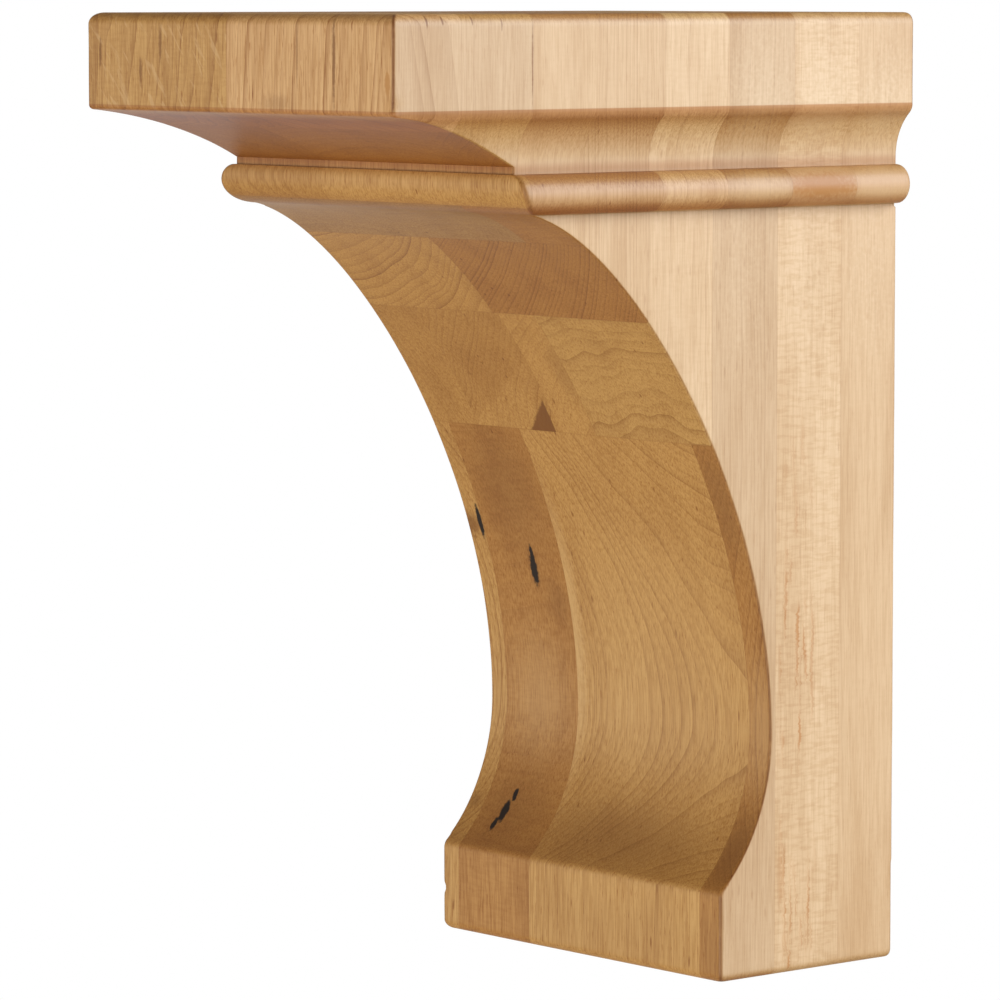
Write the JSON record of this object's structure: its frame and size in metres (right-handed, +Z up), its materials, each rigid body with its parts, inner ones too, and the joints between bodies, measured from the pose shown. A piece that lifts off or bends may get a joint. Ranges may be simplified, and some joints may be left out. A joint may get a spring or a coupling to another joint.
{
  "type": "wooden corbel bracket",
  "caption": "Carved hardwood corbel with a moulded cap, cove and bead over a long concave sweep and a small foot block, for fixing to a wall under a shelf, counter or mantel.",
  "frame": {"origin": "middle of the flat back, on the wall plane", "axes": "+Z up, -Y out from the wall to the corbel's front, +X along the wall"},
  "size_m": [0.127, 0.1778, 0.254],
  "materials": {
    "maple": "laminated maple, fine sanded, clear satin"
  },
  "bodies": {
    "root": {"corbel": "maple"}
  },
  "joints": []
}
